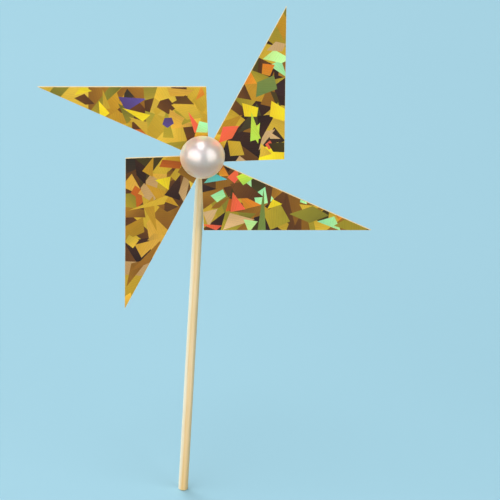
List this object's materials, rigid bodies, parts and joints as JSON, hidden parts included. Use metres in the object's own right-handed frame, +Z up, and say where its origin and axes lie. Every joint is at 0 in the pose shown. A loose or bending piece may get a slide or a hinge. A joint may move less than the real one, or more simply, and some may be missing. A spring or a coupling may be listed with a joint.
{
  "type": "pinwheel",
  "caption": "Decorative pinwheel pick: a flat card rotor with right-triangle blades and a half-pearl hub, spinning on a pin through a round bamboo stick.",
  "frame": {"origin": "centre of the flat foot of the stick", "axes": "+Z up along the stick, -Y the way the rotor faces, +X to the right for someone looking at the rotor; the pin is parallel to Y"},
  "size_m": [0.1039, 0.0162, 0.1678],
  "materials": {
    "bamboo": "plain sanded bamboo",
    "foil_card": "gold shattered-glass holographic film laminated on white card",
    "pearl_coat": "pearlescent lacquer on moulded plastic",
    "pin_steel": "nickel-plated",
    "washer_plastic": "milky",
    "bead_plastic": "pearl white"
  },
  "bodies": {
    "stick": {"bamboo_stick": "bamboo", "axle_pin": "pin_steel", "spacer_bead": "bead_plastic", "pin_end_bead": "bead_plastic"},
    "rotor": {"pinwheel_card": "foil_card", "head_washer": "washer_plastic", "half_pearl": "pearl_coat"}
  },
  "joints": [
    {"name": "rotor_spin", "type": "hinge", "parent": "stick", "child": "rotor", "pos_m": [0, -0.0045, 0.117], "axis": [0, -1, 0], "continuous": true}
  ]
}
